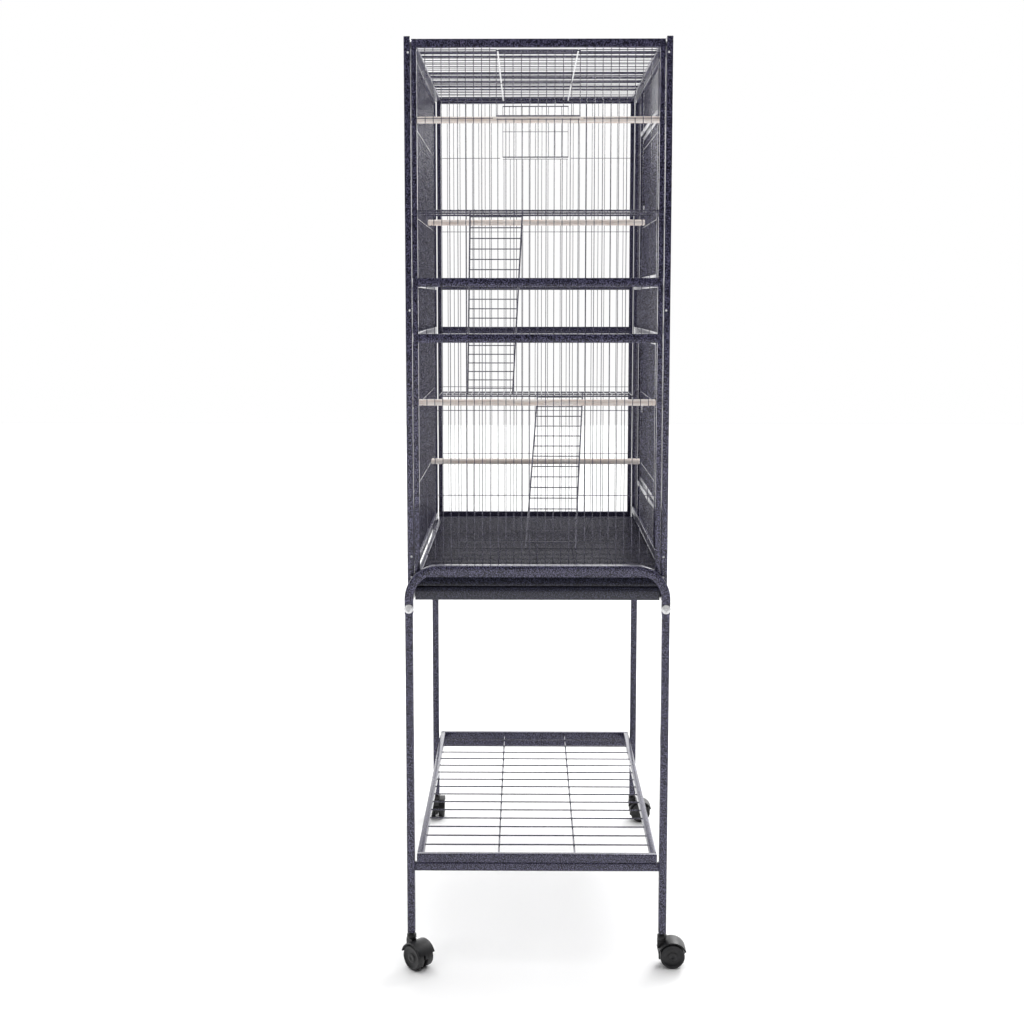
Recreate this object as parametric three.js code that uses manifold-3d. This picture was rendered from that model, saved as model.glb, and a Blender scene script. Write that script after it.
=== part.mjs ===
// Tall flight cage for birds on a rolling stand. Millimetres, +Z up, floor at z = 0.
// The narrow ends face -Y (front_) and +Y (back_). The doors, tray and grate open on the +X side.
import * as THREE from 'three';
import { mergeVertices } from 'three/addons/utils/BufferGeometryUtils.js';
import Module from 'manifold-3d';

const wasm = await Module();
wasm.setup();

// Driving dimensions.
const GAP = 0.3;                 // gap between touching pieces
const CAGE_X = 254;              // half width over the long side panels
const CAGE_Y = 389;              // half length over the end panels
const PANEL = 12;                // depth of the panel frames
const STILE = 16;                // width of a long panel's stile
const END_X = CAGE_X - PANEL - 2.5;   // half width of an end panel
const END_STILE = 9.5;
const CAGE_BOTTOM = 741;
const CAGE_TOP = 1820;
const END_TOP = 1817;
const FLOOR_RAIL = [786, 802];   // lowest rail of the end panels and of the closed side
const DOOR_RAIL = [800, 816];    // lowest rail of the door side, above the grate's slot
const LOW_RAIL = [1244, 1261];   // the two rails round the middle band
const HIGH_RAIL = [1351, 1368];
const TOP_RAIL = [1799, END_TOP];
const PANES = [[FLOOR_RAIL[1], LOW_RAIL[0]], [LOW_RAIL[1], HIGH_RAIL[0]], [HIGH_RAIL[1], TOP_RAIL[0]]];
const PANE_NAMES = ['lower', 'middle', 'upper'];
const CROSS_WIRES = [947, 1113, 1492, 1669];   // heights of the level wires
const WIRE = 2.4;                // wire diameter, drawn here as a square
const WIRE_PITCH = 15.4;         // real spacing of the upright wires
const SOLID_PITCH = 5 * WIRE_PITCH;   // every fifth upright is a solid here
const GRILLE_DEPTH = 5;          // how far a grille lies behind its frame's face
const NEST_X = 77;               // half width of a nest doorway
const NEST_TOP = 1795;           // hinge line of a nest door
const JAMB = [212, 222];         // upright bars beside the large doors
const DOOR_Y = 210;              // half width of a large door
const DOOR_X = [246.5, 252.5];
const LOW_DOOR = [904, 1242];
const HIGH_DOOR = [1370, 1698];
const BOLT_X = CAGE_X + 4.5;     // line of the sliding door bolts
const BOLT_LUGS = [[163, 168], [198, 203]];
const BOLT_BAR = [158, 207];
const KNOB_Y = 180;
const SHEET = 2.5;               // base sheets: wall depth, outer face, lip, ledge and runner
const SHEET_Y = 384;
const LIP_TOP = 767;
const BASE_TOP = 785.5;
const LEDGE_Y = 370.7;
const RUNNER_Y = 368.3;
const TRAY_Y = 371.5;
const TRAY_BOTTOM = CAGE_BOTTOM + 2 + GAP;
const TRAY_TOP = 782.5;
const GRATE_WIRE_X = 78;
const GRATE_FACE_TOP = 793;
const ROOF = [1803, 1812];
const ROOF_WIRES = 1806.5;
const ROOF_WIRE_X = 78;
const LEG_X = 250.5;
const LEG_Y = 400;
const LEG = [7.7, 9.2, 2.5];     // half width, half depth and corner of the leg tube
const BORE = [8, 9.5, 2.5];      // and of the bore that takes it
const BOW = [8.6, 10.1, 3];      // and of the bow tube
const LEG_BOTTOM = 68;
const BOW_TOP = 802.6;           // centre line of the front bow's level stretch
const BOW_FOOT = 716.5;
const BOW_BEND = 58.5;
const BOLT_Z = 727.3;
const BACK_DROP = 14.6;          // the back bow and its bolts sit this much lower
const CROSSBAR = [196, 213];     // bar between the two legs of an end
const SHELF = [213.3, 231];
const SHELF_X = 238.5;
const SHELF_PITCH = 47.8;
const SHELF_BAR = 12;
const SHELF_WIRE_X = 76;
const WHEEL_R = 25;
const WHEEL_SIDES = 20;
const AXLE_Z = WHEEL_R * Math.cos(Math.PI / WHEEL_SIDES);
const TRAIL = 20;                // axle to swivel axis
const PLATFORM_X = 230;
const PLATFORM_DEPTH = 150;
const HIGH_PLATFORM = 1499;
const LOW_PLATFORM = 1103;
const HIGH_LADDER = [[-83, -219, 1503], [-107, 221, 1108]];   // top and foot
const LOW_LADDER = [[58, 219, 1108], [30, -122, 796]];
const LADDER_W = 106;
const RUNG_PITCH = 30;
const PERCH_R = 6.5;
const PERCHES = [[-314, 1674], [60, 1497], [-247, 1119], [130, 956]];   // y, z
const SHIFT = [-13.6, 0, 0];      // brings the middle of the bounding box to x = y = 0

// Solids.
function toSolid(geometry) {
  const bare = geometry.index ? geometry : geometry.clone();
  bare.deleteAttribute('normal');
  bare.deleteAttribute('uv');
  const merged = mergeVertices(bare, 1e-4);
  const mesh = new wasm.Mesh({
    numProp: 3,
    vertProperties: new Float32Array(merged.attributes.position.array),
    triVerts: new Uint32Array(merged.index.array),
  });
  return new wasm.Manifold(mesh);
}

function toGeometry(solid) {
  const mesh = solid.getMesh();
  const geometry = new THREE.BufferGeometry();
  geometry.setAttribute('position', new THREE.BufferAttribute(mesh.vertProperties, 3));
  geometry.setIndex(new THREE.BufferAttribute(mesh.triVerts, 1));
  return geometry;
}

function join(solids) {
  return solids.reduce((sum, solid) => sum.add(solid));
}

function block(x, y, z) {
  const box = new THREE.BoxGeometry(x[1] - x[0], y[1] - y[0], z[1] - z[0]);
  box.translate((x[0] + x[1]) / 2, (y[0] + y[1]) / 2, (z[0] + z[1]) / 2);
  return toSolid(box);
}

function rod(from, to, radius, sides = 12) {
  const a = new THREE.Vector3(...from);
  const b = new THREE.Vector3(...to);
  const length = a.distanceTo(b);
  const cylinder = new THREE.CylinderGeometry(radius, radius, length, sides);
  const turn = new THREE.Quaternion();
  turn.setFromUnitVectors(new THREE.Vector3(0, 1, 0), b.clone().sub(a).normalize());
  cylinder.applyQuaternion(turn);
  const middle = a.add(b).multiplyScalar(0.5);
  cylinder.translate(middle.x, middle.y, middle.z);
  return toSolid(cylinder);
}

// A flat plate with rectangular holes. u, v and holes are [low, high] pairs; the plate lies in
// the plane 'xz', 'yz' or 'xy' and fills span along the third axis.
function plate(plane, u, v, span, holes = []) {
  const place = (a, b, c) => block(...{ xy: [a, b, c], yz: [c, a, b], xz: [a, c, b] }[plane]);
  const slab = place(u, v, span);
  if (holes.length === 0) {
    return slab;
  }
  const through = [span[0] - 1, span[1] + 1];
  return slab.subtract(join(holes.map(([a, b]) => place(a, b, through))));
}

// The open cells between the lines of a grille, without those that lie inside the doorway.
function cells(us, vs, doorway) {
  const half = WIRE / 2;
  const open = [];
  for (let i = 0; i + 1 < us.length; i += 1) {
    for (let j = 0; j + 1 < vs.length; j += 1) {
      const inside = doorway && us[i] >= doorway[0][0] && us[i + 1] <= doorway[0][1]
        && vs[j] >= doorway[1][0] && vs[j + 1] <= doorway[1][1];
      if (!inside) {
        open.push([[us[i] + half, us[i + 1] - half], [vs[j] + half, vs[j + 1] - half]]);
      }
    }
  }
  if (doorway) {
    open.push(doorway.map(([low, high]) => [low + half, high - half]));
  }
  return open;
}

// Evenly spaced lines from low to high, about pitch apart.
function lines(low, high, pitch) {
  const count = Math.max(1, Math.round((high - low) / pitch));
  return Array.from({ length: count + 1 }, (_, i) => low + ((high - low) * i) / count);
}

// A grille of welded wires that fills the pane u by v of a frame, with level wires at crossings.
function grille(plane, u, v, start, crossings = [], doorway = null) {
  const edge = GAP + WIRE / 2;
  let us = lines(u[0] + edge, u[1] - edge, SOLID_PITCH);
  const vs = [v[0] + edge, ...crossings.filter((z) => z > v[0] && z < v[1]), v[1] - edge];
  if (doorway) {
    us = us.filter((x) => Math.abs(Math.abs(x) - doorway[0][1]) > WIRE);
    us = [...us, ...doorway[0]].sort((a, b) => a - b);
    doorway = [doorway[0], [doorway[1][0], v[1] - edge]];
  }
  const outer = [[u[0] + GAP, u[1] - GAP], [v[0] + GAP, v[1] - GAP]];
  return plate(plane, ...outer, [start, start + WIRE], cells(us, vs, doorway));
}

// Materials, one for each mesh.
const FINISH = {
  hammered: () => new THREE.MeshStandardMaterial({ color: 0x4a4a5c, roughness: 0.5, metalness: 0.4 }),
  wire: () => new THREE.MeshStandardMaterial({ color: 0x3c3c48, roughness: 0.5, metalness: 0.4 }),
  tray: () => new THREE.MeshStandardMaterial({ color: 0x33333c, roughness: 0.6, metalness: 0.3 }),
  wood: () => new THREE.MeshStandardMaterial({ color: 0xdcb9a4, roughness: 0.7, metalness: 0 }),
  plastic: () => new THREE.MeshStandardMaterial({ color: 0x1a1a1c, roughness: 0.45, metalness: 0 }),
  zinc: () => new THREE.MeshStandardMaterial({ color: 0xc9c9cc, roughness: 0.3, metalness: 0.9 }),
};

const model = new THREE.Group();

function add(name, solid, finish, parent = model) {
  const mesh = new THREE.Mesh(toGeometry(solid), FINISH[finish]());
  mesh.name = name;
  parent.add(mesh);
  return mesh;
}

// Stand: a bent bow over two legs at each end, with a crossbar that carries the shelf.
class BowLine extends THREE.Curve {
  getPoint(t) {
    const straight = BOW_TOP - BOW_BEND - BOW_FOOT;
    const bend = (BOW_BEND * Math.PI) / 2;
    const level = LEG_X - BOW_BEND;
    const along = t * (2 * straight + 2 * bend + 2 * level) - (straight + bend + level);
    const side = Math.sign(along) || 1;
    const s = Math.abs(along);
    const point = new THREE.Vector3(side * s, 0, BOW_TOP);
    if (s > level && s <= level + bend) {
      const angle = (s - level) / BOW_BEND;
      point.x = side * (level + BOW_BEND * Math.sin(angle));
      point.z = BOW_TOP - BOW_BEND * (1 - Math.cos(angle));
    } else if (s > level + bend) {
      point.x = side * LEG_X;
      point.z = BOW_TOP - BOW_BEND - (s - level - bend);
    }
    return point;
  }
}

// Rectangular tube section with cut corners.
function section([a, b, cut]) {
  const points = [[a, b - cut], [a - cut, b], [cut - a, b], [-a, b - cut],
    [-a, cut - b], [cut - a, -b], [a - cut, -b], [a, cut - b]];
  return new THREE.Shape(points.map(([x, y]) => new THREE.Vector2(x, y)));
}

function upright(size, x, z) {
  const post = new THREE.ExtrudeGeometry(section(size), { depth: z[1] - z[0], bevelEnabled: false });
  post.translate(x, 0, z[0]);
  return toSolid(post);
}

function boltHole(x, z) {
  return rod([x, -20, z], [x, 20, z], 3.4, 8);
}

function bow() {
  const tube = new THREE.ExtrudeGeometry(section(BOW), {
    steps: 36, bevelEnabled: false, extrudePath: new BowLine(),
  });
  return [-LEG_X, LEG_X].reduce((solid, x) => (
    solid.subtract(upright(BORE, x, [BOW_FOOT - 1, BOLT_Z + 22])).subtract(boltHole(x, BOLT_Z))
  ), toSolid(tube));
}

function legFrame(drop) {
  const legs = [-LEG_X, LEG_X].map((x) => (
    upright(LEG, x, [LEG_BOTTOM, BOLT_Z + 20 - drop]).subtract(boltHole(x, BOLT_Z - drop))));
  const bar = block([-LEG_X, LEG_X], [-6, 6], CROSSBAR);
  return join([...legs, bar]);
}

function bowBolt(x) {
  const face = BOW[1];
  const shank = rod([x, -face - 1, BOLT_Z], [x, face + 8, BOLT_Z], 3, 8);
  const head = rod([x, -face - 5, BOLT_Z], [x, -face - GAP, BOLT_Z], 9, 16);
  const nut = rod([x, face + GAP, BOLT_Z], [x, face + 5.5, BOLT_Z], 6, 6);
  return join([shank, head, nut]);
}

function standEnd(name, sign) {
  const end = new THREE.Group();
  end.position.y = sign * LEG_Y;
  end.rotation.z = sign > 0 ? Math.PI : 0;
  const drop = sign > 0 ? BACK_DROP : 0;
  const top = new THREE.Group();
  top.position.z = -drop;
  end.add(top);
  add(`${name}_bow`, bow(), 'hammered', top);
  add(`${name}_leg_frame`, legFrame(drop), 'hammered', end);
  add(`${name}_left_bow_bolt`, bowBolt(sign * LEG_X), 'zinc', top);
  add(`${name}_right_bow_bolt`, bowBolt(-sign * LEG_X), 'zinc', top);
  model.add(end);
}

function shelf() {
  const x = SHELF_X;
  const y = LEG_Y + 6;
  const inner = [[-x + SHELF_BAR, x - SHELF_BAR], [-y + SHELF_BAR, y - SHELF_BAR]];
  const frame = plate('xy', [-x, x], [-y, y], SHELF, [inner]);
  const us = [inner[0][0], -SHELF_WIRE_X, SHELF_WIRE_X, inner[0][1]];
  const vs = lines(inner[1][0], inner[1][1], SHELF_PITCH);
  const top = SHELF[1] - 3;
  const wires = plate('xy', [-x + 1, x - 1], [-y + 1, y - 1], [top - WIRE, top], cells(us, vs));
  return frame.add(wires);
}

// Castor: a hood on a stem, and two wheels on one axle behind it. Local +X is the trail.
function castorHood() {
  const place = (shape, depth) => {
    const slab = new THREE.ExtrudeGeometry(shape, { depth, bevelEnabled: false, curveSegments: 7 });
    slab.rotateX(Math.PI / 2);
    slab.translate(TRAIL, depth / 2, AXLE_Z);
    return toSolid(slab);
  };
  const arc = new THREE.Shape();
  arc.absarc(0, 0, WHEEL_R + 4.5, 0.12 * Math.PI, 0.92 * Math.PI, false);
  arc.absarc(0, 0, WHEEL_R + 1.8, 0.92 * Math.PI, 0.12 * Math.PI, true);
  const disc = new THREE.Shape();
  disc.absarc(0, 0, WHEEL_R + 2.5, 0, 2 * Math.PI, false);
  const web = place(disc, 7).subtract(block([-60, 60], [-30, 30], [-20, AXLE_Z - 12]));
  let boss = rod([0, 0, 36], [0, 0, LEG_BOTTOM - GAP], 9.5);
  [[-30, -3.5], [3.5, 30]].forEach(([a, b]) => {
    boss = boss.subtract(rod([TRAIL, a, AXLE_Z], [TRAIL, b, AXLE_Z], WHEEL_R + 2.2, 14));
  });
  const bore = rod([TRAIL, -30, AXLE_Z], [TRAIL, 30, AXLE_Z], 4.6, 8);
  return join([place(arc, 40), web, boss]).subtract(bore);
}

function castorWheels() {
  const wheels = [[-19, -4], [4, 19]].map(([a, b]) => {
    const disc = new THREE.CylinderGeometry(WHEEL_R, WHEEL_R, b - a, WHEEL_SIDES);
    disc.rotateY(Math.PI / WHEEL_SIDES);   // a flat side faces the floor
    disc.translate(TRAIL, (a + b) / 2, AXLE_Z);
    return toSolid(disc);
  });
  return join([...wheels, rod([TRAIL, -5, AXLE_Z], [TRAIL, 5, AXLE_Z], 4, 8)]);
}

function castor(name, x, y, heading) {
  const group = new THREE.Group();
  group.position.set(x, y, 0);
  group.rotation.z = THREE.MathUtils.degToRad(heading);
  add(`${name}_castor_hood`, castorHood(), 'plastic', group);
  add(`${name}_castor_wheels`, castorWheels(), 'plastic', group);
  model.add(group);
}

// Base: end sheets with a hemmed lower lip, a ledge for the tray and a runner for the grate, a
// plain side sheet, and a sill under the open +X side.
function baseEnd(sign) {
  const out = (low, high) => (sign > 0 ? [low, high] : [-high, -low]);
  const x = [-END_X, END_X];
  const lipFace = CAGE_Y - GAP;
  const wall = SHEET_Y - SHEET;
  const upper = block(x, out(wall, SHEET_Y), [LIP_TOP - 3, BASE_TOP]);
  const lip = block(x, out(wall, lipFace), [CAGE_BOTTOM, LIP_TOP]);
  const within = [x[0] + SHEET + GAP, x[1]];
  const ledge = block(within, out(LEDGE_Y, lipFace), [CAGE_BOTTOM, TRAY_BOTTOM - GAP]);
  const runner = block(within, out(RUNNER_Y, SHEET_Y), [BASE_TOP - 2.1, BASE_TOP]);
  return join([upper, lip, ledge, runner]);
}

function baseSide() {
  const y = SHEET_Y - SHEET - GAP;
  return block([-END_X, -END_X + SHEET], [-y, y], [CAGE_BOTTOM, BASE_TOP]);
}

function baseSill() {
  const y = LEDGE_Y - GAP;
  return block([END_X - 14, END_X], [-y, y], [CAGE_BOTTOM, TRAY_BOTTOM - GAP]);
}

function tray() {
  const x = [-END_X + 3, CAGE_X - 3];
  const y = [-TRAY_Y, TRAY_Y];
  const body = block(x, y, [TRAY_BOTTOM, TRAY_TOP]);
  const inside = block([x[0] + 2, x[1] - 10], [y[0] + 2, y[1] - 2], [TRAY_BOTTOM + 2.2, BASE_TOP]);
  return body.subtract(inside);
}

function grate() {
  const x = [-END_X + 3, CAGE_X - 3];
  const y = [-TRAY_Y, TRAY_Y];
  const z = BASE_TOP + GAP;
  const us = [x[0] + 8, -GRATE_WIRE_X, GRATE_WIRE_X, x[1] - 12];
  const face = block([x[1] - 7, x[1]], y, [z, GRATE_FACE_TOP]);
  return plate('xy', x, y, [z, z + 5], cells(us, lines(y[0] + 8, y[1] - 8, SOLID_PITCH))).add(face);
}

// End panels.
function endPanel(name, sign) {
  const u = [-END_X + END_STILE, END_X - END_STILE];
  const face = [CAGE_Y - PANEL, CAGE_Y];
  const span = sign > 0 ? face : [-face[1], -face[0]];
  const frame = plate('xz', [-END_X, END_X], [FLOOR_RAIL[0], END_TOP], span, PANES.map((v) => [u, v]));
  add(`${name}_end_frame`, frame, 'hammered');
  const start = sign > 0 ? CAGE_Y - GRILLE_DEPTH - WIRE : -CAGE_Y + GRILLE_DEPTH;
  PANES.forEach((v, i) => {
    const doorway = i === 2 ? [[-NEST_X, NEST_X], [CROSS_WIRES[3]]] : null;
    add(`${name}_${PANE_NAMES[i]}_grille`, grille('xz', u, v, start, CROSS_WIRES, doorway), 'wire');
  });
  add(`${name}_nest_door`, nestDoor(sign), 'wire');
}

// A nest door hangs on its top edge, just outside the grille.
function nestDoor(sign) {
  const u = [-NEST_X - 3, NEST_X + 3];
  const v = [CROSS_WIRES[3] + 2, NEST_TOP];
  const outer = CAGE_Y - 1;
  const inner = CAGE_Y - GRILLE_DEPTH + 1;
  const span = sign > 0 ? [inner, outer] : [-outer, -inner];
  return plate('xz', u, v, span, cells(lines(u[0] + 1.2, u[1] - 1.2, 31), [v[0] + 2, v[1] - 2]));
}

// Long sides.
function closedSide() {
  const y = CAGE_Y - STILE;
  const face = [-CAGE_X, -CAGE_X + PANEL];
  const skirt = [[-y, y], [CAGE_BOTTOM + 3, FLOOR_RAIL[0]]];
  const frame = plate('yz', [-CAGE_Y, CAGE_Y], [CAGE_BOTTOM, CAGE_TOP], face, [
    skirt, ...PANES.map((v) => [[-y, y], v])]);
  add('closed_side_frame', frame, 'hammered');
  PANES.forEach((v, i) => {
    const wires = grille('yz', [-y, y], v, -CAGE_X + GRILLE_DEPTH, CROSS_WIRES);
    add(`closed_side_${PANE_NAMES[i]}_grille`, wires, 'wire');
  });
}

function doorSide() {
  const y = CAGE_Y - STILE;
  const slot = [[-y, y], [CAGE_BOTTOM + 2, DOOR_RAIL[0]]];
  const sides = [[-y, -JAMB[1]], [JAMB[1], y]];
  const middle = [-JAMB[0], JAMB[0]];
  const low = [DOOR_RAIL[1], LOW_RAIL[0]];
  const high = [HIGH_RAIL[1], TOP_RAIL[0]];
  const underDoor = [DOOR_RAIL[1], LOW_DOOR[0] - 12];
  const overDoor = [HIGH_DOOR[1] + 12, TOP_RAIL[0]];
  const panes = [
    ['lower_front', sides[0], low], ['lower_back', sides[1], low],
    ['upper_front', sides[0], high], ['upper_back', sides[1], high],
    ['middle', [-y, y], [LOW_RAIL[1], HIGH_RAIL[0]]],
    ['under_door', middle, underDoor], ['over_door', middle, overDoor],
  ];
  const doorways = [[middle, [LOW_DOOR[0] - 2, LOW_RAIL[0]]], [middle, [HIGH_RAIL[1], HIGH_DOOR[1] + 2]]];
  const holes = [slot, ...doorways, ...panes.map((pane) => pane.slice(1))];
  const face = [CAGE_X - PANEL, CAGE_X];
  let frame = plate('yz', [-CAGE_Y, CAGE_Y], [CAGE_BOTTOM, CAGE_TOP], face, holes);
  [LOW_DOOR, HIGH_DOOR].forEach((door) => {
    frame = frame.add(keeper((door[0] + door[1]) / 2));
  });
  add('door_side_frame', frame, 'hammered');
  panes.forEach(([name, u, v]) => {
    const wires = grille('yz', u, v, CAGE_X - GRILLE_DEPTH - WIRE, CROSS_WIRES);
    add(`door_side_${name}_grille`, wires, 'wire');
  });
}

function keeper(z) {
  const body = block([CAGE_X - 1, BOLT_X + 6], [JAMB[0] + 2, JAMB[0] + 8], [z - 7, z + 7]);
  return body.subtract(rod([BOLT_X, JAMB[0], z], [BOLT_X, JAMB[0] + 12, z], 3.4));
}

function largeDoor(v) {
  const z = (v[0] + v[1]) / 2;
  const rim = 9;
  const inner = [[-DOOR_Y + rim, DOOR_Y - rim], [v[0] + rim, v[1] - rim]];
  const frame = plate('yz', [-DOOR_Y, DOOR_Y], v, DOOR_X, [inner]);
  const us = lines(...inner[0], SOLID_PITCH);
  const vs = [inner[1][0], ...CROSS_WIRES.filter((h) => h > v[0] && h < v[1]), inner[1][1]];
  const wires = plate('yz', [-DOOR_Y + 1, DOOR_Y - 1], [v[0] + 1, v[1] - 1],
    [DOOR_X[0] + 1.8, DOOR_X[0] + 1.8 + WIRE], cells(us, vs));
  const backingY = [BOLT_LUGS[0][0] - 1, BOLT_LUGS[1][1] + 2];
  const backing = block([DOOR_X[0] + 1, DOOR_X[1]], backingY, [z - 8, z + 8]);
  const lugs = BOLT_LUGS.map((y) => {
    const lug = block([DOOR_X[1] - 1, BOLT_X + 6], y, [z - 7, z + 7]);
    return lug.subtract(rod([BOLT_X, y[0] - 2, z], [BOLT_X, y[1] + 2, z], 3.4));
  });
  return join([frame, wires, backing, ...lugs]);
}

function doorBolt(v) {
  const z = (v[0] + v[1]) / 2;
  const bar = rod([BOLT_X, BOLT_BAR[0], z], [BOLT_X, BOLT_BAR[1], z], 2.9, 10);
  const knob = rod([BOLT_X, KNOB_Y, z], [BOLT_X + 15, KNOB_Y, z], 3.4, 10);
  return bar.add(knob);
}

// Roof panel, between the long sides and the end panels.
function roof() {
  const x = CAGE_X - PANEL - GAP;
  const y = CAGE_Y - PANEL - GAP;
  const inner = [[-x + 12, x - 12], [-y + 12, y - 12]];
  const frame = plate('xy', [-x, x], [-y, y], ROOF, [inner]);
  const us = [inner[0][0], -ROOF_WIRE_X, ROOF_WIRE_X, inner[0][1]];
  const holes = cells(us, lines(inner[1][0], inner[1][1], SOLID_PITCH));
  const span = [ROOF_WIRES, ROOF_WIRES + WIRE];
  const wires = plate('xy', [-x + 1, x - 1], [-y + 1, y - 1], span, holes);
  return frame.add(wires);
}

// Inside the cage.
function platform(sign, z) {
  const wall = CAGE_Y - PANEL - 2;
  const y = sign > 0 ? [wall - PLATFORM_DEPTH, wall] : [-wall, PLATFORM_DEPTH - wall];
  const x = PLATFORM_X;
  const edge = 4;
  const us = lines(-x + edge, x - edge, SOLID_PITCH);
  const vs = lines(y[0] + edge, y[1] - edge, PLATFORM_DEPTH);
  return plate('xy', [-x, x], y, [z - edge, z], cells(us, vs));
}

// A ladder between the ends of its centre line.
function ladder([top, foot]) {
  const rails = [-LADDER_W / 2, LADDER_W / 2].map((x) => (
    rod([top[0] + x, top[1], top[2]], [foot[0] + x, foot[1], foot[2]], 1.8, 6)));
  const length = Math.hypot(...top.map((value, i) => value - foot[i]));
  const count = Math.floor(length / (2 * RUNG_PITCH));
  const rungs = Array.from({ length: count }, (_, i) => {
    const t = (i + 0.5) / count;
    const [x, y, z] = top.map((value, k) => value + t * (foot[k] - value));
    return rod([x - LADDER_W / 2, y, z], [x + LADDER_W / 2, y, z], 1.2, 4);
  });
  return join([...rails, ...rungs]);
}

standEnd('front', -1);
standEnd('back', 1);
add('storage_shelf', shelf(), 'hammered');
castor('front_left', -LEG_X, -LEG_Y, -45);
castor('front_right', LEG_X, -LEG_Y, 0);
castor('back_left', -LEG_X, LEG_Y, 90);
castor('back_right', LEG_X, LEG_Y, 0);
add('base_front_sheet', baseEnd(-1), 'hammered');
add('base_back_sheet', baseEnd(1), 'hammered');
add('base_side_sheet', baseSide(), 'hammered');
add('base_sill', baseSill(), 'hammered');
add('seed_tray', tray(), 'tray');
add('floor_grate', grate(), 'wire');
endPanel('front', -1);
endPanel('back', 1);
closedSide();
doorSide();
add('lower_door', largeDoor(LOW_DOOR), 'hammered');
add('upper_door', largeDoor(HIGH_DOOR), 'hammered');
add('lower_door_bolt', doorBolt(LOW_DOOR), 'zinc');
add('upper_door_bolt', doorBolt(HIGH_DOOR), 'zinc');
add('roof_panel', roof(), 'hammered');
add('high_platform', platform(-1, HIGH_PLATFORM), 'wire');
add('low_platform', platform(1, LOW_PLATFORM), 'wire');
add('high_ladder', ladder(HIGH_LADDER), 'wire');
add('low_ladder', ladder(LOW_LADDER), 'wire');
PERCHES.forEach(([y, z], i) => {
  const end = CAGE_X - PANEL - 1.5;
  add(`perch_${i + 1}`, rod([-end, y, z], [end, y, z], PERCH_R, 12), 'wood');
});

model.position.set(...SHIFT);

export default model;
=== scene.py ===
import math

import bpy
import numpy as np
from mathutils import Matrix, Vector


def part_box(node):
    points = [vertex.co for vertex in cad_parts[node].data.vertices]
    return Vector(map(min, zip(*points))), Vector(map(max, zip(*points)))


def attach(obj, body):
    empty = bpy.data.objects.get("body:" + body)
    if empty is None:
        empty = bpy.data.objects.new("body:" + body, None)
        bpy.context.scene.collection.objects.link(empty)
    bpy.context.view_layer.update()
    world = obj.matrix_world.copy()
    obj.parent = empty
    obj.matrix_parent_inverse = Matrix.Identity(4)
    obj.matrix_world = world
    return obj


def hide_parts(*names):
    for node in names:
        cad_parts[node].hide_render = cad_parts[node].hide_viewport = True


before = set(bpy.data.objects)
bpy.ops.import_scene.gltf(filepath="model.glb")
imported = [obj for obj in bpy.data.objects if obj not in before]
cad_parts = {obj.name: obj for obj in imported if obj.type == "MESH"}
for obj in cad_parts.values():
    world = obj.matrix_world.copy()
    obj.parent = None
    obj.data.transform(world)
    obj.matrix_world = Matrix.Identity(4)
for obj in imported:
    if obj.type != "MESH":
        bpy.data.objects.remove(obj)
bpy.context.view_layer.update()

# Sizes that the frame's boxes don't give.
MM = 0.001
ROOT = "cage_and_stand"
WIRE = 0.7 * MM                # radius of a panel wire
PITCH = 15.4 * MM               # between upright wires
SOFTEN = 0.9 * MM               # rounding of a bar's edges
CROSSINGS = np.array([947, 1113, 1492, 1669]) * MM
END_RAILS = np.array([[786, 802], [1244, 1261], [1351, 1368], [1799, 1817]]) * MM
END_STILE = 9.5 * MM
SIDE_STILE = 16 * MM
JAMB = np.array([212, 222]) * MM
BOW = (10.1 * MM, 8.6 * MM)     # half depth and half width of the bow tube
LEG = (9.2 * MM, 7.7 * MM)      # and of the leg tube
BOW_BEND = 58.5 * MM
BOLT_R = 2.9 * MM               # of a door's sliding bolt
KNOB_Y = 180 * MM
HOOD_R = 29.5 * MM              # outside of a castor's hood
AXLE_Z = 24.69 * MM
TRAIL = 20 * MM
RUNG_PITCH = 30 * MM
HEADINGS = {"front_left": -45, "front_right": 0, "back_left": 90, "back_right": 0}
# Middle of each ladder's top and foot in millimetres: x from MIDDLE, y, z.
LADDERS = {"high": ((-83, -219, 1503), (-107, 221, 1108)), "low": ((58, 219, 1108), (30, -122, 796))}


def limits(node):
    """Lowest and highest corner of a CAD node, in metres."""
    low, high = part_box(node)
    return np.array(low), np.array(high)


MIDDLE = sum(limits("front_end_frame"))[0] / 2


# Shapes. Each is a table of points and a list of face tables.

def unit(vectors):
    """Each vector divided by its length."""
    return vectors / np.linalg.norm(vectors, axis=-1, keepdims=True)


def loft(rings):
    """Rings of points, each joined to the next by quads, with the first and last ring filled."""
    count, sides = rings.shape[:2]
    here = np.arange(count * sides).reshape(count, sides)
    beside = np.roll(here, -1, axis=1)
    quads = np.stack([here[:-1], beside[:-1], beside[1:], here[1:]], axis=-1).reshape(-1, 4)
    return rings.reshape(-1, 3), [quads, np.stack([here[0][::-1], here[-1]])]


def formed(path, section, side, scale=1.0):
    """A section carried along a path: path(i) + k(i) (p s + q (t x s)) for every (p, q) of the
    section, where t is the path's direction and s is side with its share along t taken away."""
    path = np.asarray(path, float)
    t = unit(np.gradient(path, axis=0))
    s = unit(np.asarray(side, float) - t * (t @ np.asarray(side, float))[:, None])
    up = np.cross(t, s)
    k = np.broadcast_to(scale, len(path))[:, None, None]
    flat = section[:, 0][None, :, None] * s[:, None] + section[:, 1][None, :, None] * up[:, None]
    return loft(path[:, None] + k * flat)


def circle(radius, sides):
    """Points (r cos a, r sin a) at even angles."""
    a = 2 * np.pi * np.arange(sides) / sides
    return radius * np.stack([np.cos(a), np.sin(a)], -1)


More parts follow.
